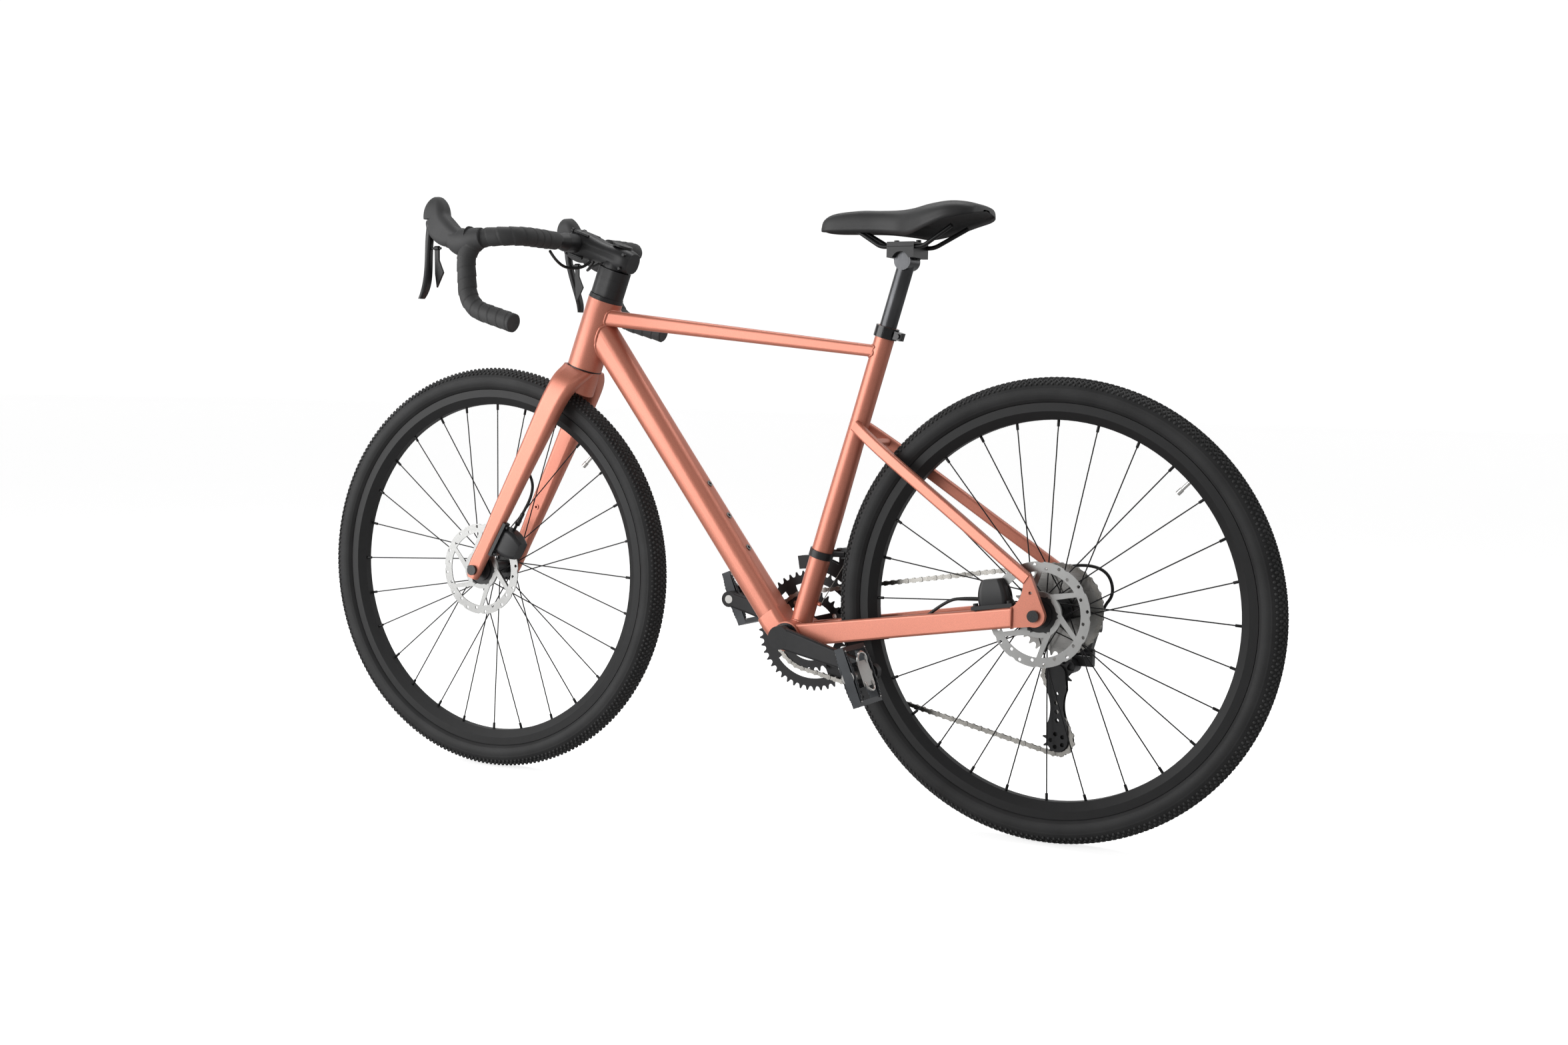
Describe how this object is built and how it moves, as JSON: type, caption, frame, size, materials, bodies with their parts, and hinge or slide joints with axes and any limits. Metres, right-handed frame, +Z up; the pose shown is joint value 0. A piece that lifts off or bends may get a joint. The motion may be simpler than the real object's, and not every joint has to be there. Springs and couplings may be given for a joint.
{
  "type": "gravel bicycle",
  "caption": "Drop-bar gravel bicycle with knobbly tyres, disc brakes and a chain drive; it steers, rolls, pedals, shifts and brakes, and its saddle height and tilt are adjustable.",
  "frame": {"origin": "on the ground midway between the two wheel axles, in the middle plane", "axes": "+X towards the front wheel, +Y to the rider's left, +Z up"},
  "size_m": [1.762, 0.4878, 0.9917],
  "materials": {
    "frame_paint": "satin metallic paint",
    "black_alloy": "satin black anodised",
    "dark_alloy": "satin dark grey",
    "black_steel": "black coated",
    "steel": "brushed",
    "tyre_rubber": "matte",
    "tape": "matte wrap",
    "hood_rubber": "matte",
    "saddle_cover": "matte grain",
    "plastic": "matte"
  },
  "bodies": {
    "frame": {"head_tube": "frame_paint", "top_tube": "frame_paint", "down_tube": "frame_paint", "seat_tube": "frame_paint", "bottom_bracket_shell": "frame_paint", "chainstays": "frame_paint", "seatstays": "frame_paint", "dropouts": "frame_paint", "seat_collar": "black_alloy", "frame_bearings": "black_alloy", "bottle_bosses": "steel", "front_derailleur_body": "black_alloy", "rear_brake_caliper": "black_alloy", "rear_axle": "black_alloy", "chain": "steel", "frame_cables": "plastic", "rear_derailleur_knuckle": "black_alloy"},
    "steering": {"fork": "frame_paint", "headset_spacers": "black_alloy", "stem": "black_alloy", "stem_faceplate": "black_alloy", "handlebar": "black_alloy", "bar_tape": "tape", "left_lever_hood": "hood_rubber", "right_lever_hood": "hood_rubber", "front_brake_caliper": "black_alloy", "front_axle": "black_alloy", "cockpit_hoses": "plastic"},
    "left_brake_lever": {"left_brake_lever": "black_alloy"},
    "right_brake_lever": {"right_brake_lever": "black_alloy"},
    "left_shift_paddle": {"left_shift_paddle": "plastic"},
    "right_shift_paddle": {"right_shift_paddle": "plastic"},
    "front_wheel": {"front_tyre": "tyre_rubber", "front_rim": "black_alloy", "front_spokes": "black_steel", "front_hub": "black_alloy", "front_rotor": "steel", "front_valve": "black_alloy"},
    "rear_wheel": {"rear_tyre": "tyre_rubber", "rear_rim": "black_alloy", "rear_spokes": "black_steel", "rear_hub": "black_alloy", "rear_rotor": "steel", "rear_valve": "black_alloy"},
    "cassette": {"cassette": "steel"},
    "crank": {"crank_arms": "black_alloy", "chainrings": "black_alloy", "pedal_spindles": "steel"},
    "left_pedal": {"left_pedal": "dark_alloy"},
    "right_pedal": {"right_pedal": "dark_alloy"},
    "seatpost": {"seatpost": "black_alloy"},
    "saddle": {"saddle_clamp": "black_alloy", "saddle_rails": "steel", "saddle": "saddle_cover"},
    "front_derailleur_cage": {"front_derailleur_cage": "black_steel"},
    "rear_derailleur_link": {"rear_derailleur_link": "black_alloy"},
    "rear_derailleur_foot": {"rear_derailleur_foot": "black_alloy"},
    "rear_derailleur_cage": {"rear_derailleur_cage": "black_steel"},
    "guide_pulley": {"guide_pulley": "plastic"},
    "tension_pulley": {"tension_pulley": "plastic"}
  },
  "joints": [
    {"name": "steer", "type": "hinge", "parent": "frame", "child": "steering", "pos_m": [0.47322, 0, 0.33746], "axis": [-0.3371, 0, 0.9415], "range_deg": [-60, 60]},
    {"name": "front_wheel_spin", "type": "hinge", "parent": "steering", "child": "front_wheel", "pos_m": [0.525, 0, 0.356], "axis": [0, 1, 0], "continuous": true},
    {"name": "rear_wheel_spin", "type": "hinge", "parent": "frame", "child": "rear_wheel", "pos_m": [-0.525, 0, 0.356], "axis": [0, 1, 0], "continuous": true},
    {"name": "crank_spin", "type": "hinge", "parent": "frame", "child": "crank", "pos_m": [-0.08951, 0, 0.2865], "axis": [0, 1, 0], "continuous": true, "deforming": ["chain"]},
    {"name": "cassette_spin", "type": "hinge", "parent": "frame", "child": "cassette", "pos_m": [-0.525, 0, 0.356], "axis": [0, 1, 0], "continuous": true},
    {"name": "left_pedal_spin", "type": "hinge", "parent": "crank", "child": "left_pedal", "pos_m": [-0.25759, 0.0803, 0.2477], "axis": [0, 1, 0], "continuous": true},
    {"name": "right_pedal_spin", "type": "hinge", "parent": "crank", "child": "right_pedal", "pos_m": [0.07857, -0.0803, 0.3253], "axis": [0, 1, 0], "continuous": true},
    {"name": "left_brake_pull", "type": "hinge", "parent": "steering", "child": "left_brake_lever", "pos_m": [0.51259, 0.2, 0.94264], "axis": [0, 1, 0], "range_deg": [0, 20], "stiffness_Nm_per_rad": 1.2},
    {"name": "right_brake_pull", "type": "hinge", "parent": "steering", "child": "right_brake_lever", "pos_m": [0.51259, -0.2, 0.94264], "axis": [0, 1, 0], "range_deg": [0, 20], "stiffness_Nm_per_rad": 1.2},
    {"name": "left_shift_push", "type": "hinge", "parent": "left_brake_lever", "child": "left_shift_paddle", "pos_m": [0.49759, 0.204, 0.90564], "axis": [-1, 0, 0], "range_deg": [0, 12], "stiffness_Nm_per_rad": 0.4},
    {"name": "right_shift_push", "type": "hinge", "parent": "right_brake_lever", "child": "right_shift_paddle", "pos_m": [0.49759, -0.204, 0.90564], "axis": [1, 0, 0], "range_deg": [0, 12], "stiffness_Nm_per_rad": 0.4},
    {"name": "front_derailleur_swing", "type": "hinge", "parent": "frame", "child": "front_derailleur_cage", "pos_m": [-0.15001, -0.027, 0.4235], "axis": [-1, 0, 0], "range_deg": [0, 8], "stiffness_Nm_per_rad": 2, "deforming": ["chain"]},
    {"name": "rear_derailleur_shift", "type": "hinge", "parent": "frame", "child": "rear_derailleur_link", "pos_m": [-0.558, -0.092, 0.324], "axis": [-1, 0, 0], "range_deg": [0, 49], "stiffness_Nm_per_rad": 2, "deforming": ["chain"]},
    {"name": "rear_derailleur_parallel", "type": "hinge", "parent": "rear_derailleur_link", "child": "rear_derailleur_foot", "pos_m": [-0.558, -0.06, 0.29], "axis": [-1, 0, 0], "range_deg": [-49, 0]},
    {"name": "rear_derailleur_tension", "type": "hinge", "parent": "rear_derailleur_foot", "child": "rear_derailleur_cage", "pos_m": [-0.54, -0.0285, 0.268], "axis": [0, 1, 0], "range_deg": [0, 35], "stiffness_Nm_per_rad": 1, "deforming": ["chain"]},
    {"name": "guide_pulley_spin", "type": "hinge", "parent": "rear_derailleur_cage", "child": "guide_pulley", "pos_m": [-0.526, -0.0285, 0.257], "axis": [0, 1, 0], "continuous": true},
    {"name": "tension_pulley_spin", "type": "hinge", "parent": "rear_derailleur_cage", "child": "tension_pulley", "pos_m": [-0.53148, -0.0285, 0.15415], "axis": [0, 1, 0], "continuous": true},
    {"name": "seat_height", "type": "slide", "parent": "frame", "child": "seatpost", "axis": [-0.284, 0, 0.9588], "range_m": [-0.07, 0.05]},
    {"name": "saddle_tilt", "type": "hinge", "parent": "seatpost", "child": "saddle", "pos_m": [-0.26759, 0, 0.88768], "axis": [0, 1, 0], "range_deg": [-10, 10]}
  ],
  "couplings": [
    {"joint": "cassette_spin", "follows": "crank_spin", "ratio": 0.94118},
    {"joint": "guide_pulley_spin", "follows": "crank_spin", "ratio": -2.9091},
    {"joint": "tension_pulley_spin", "follows": "crank_spin", "ratio": 2.9091},
    {"joint": "rear_derailleur_parallel", "follows": "rear_derailleur_shift", "ratio": -1}
  ]
}
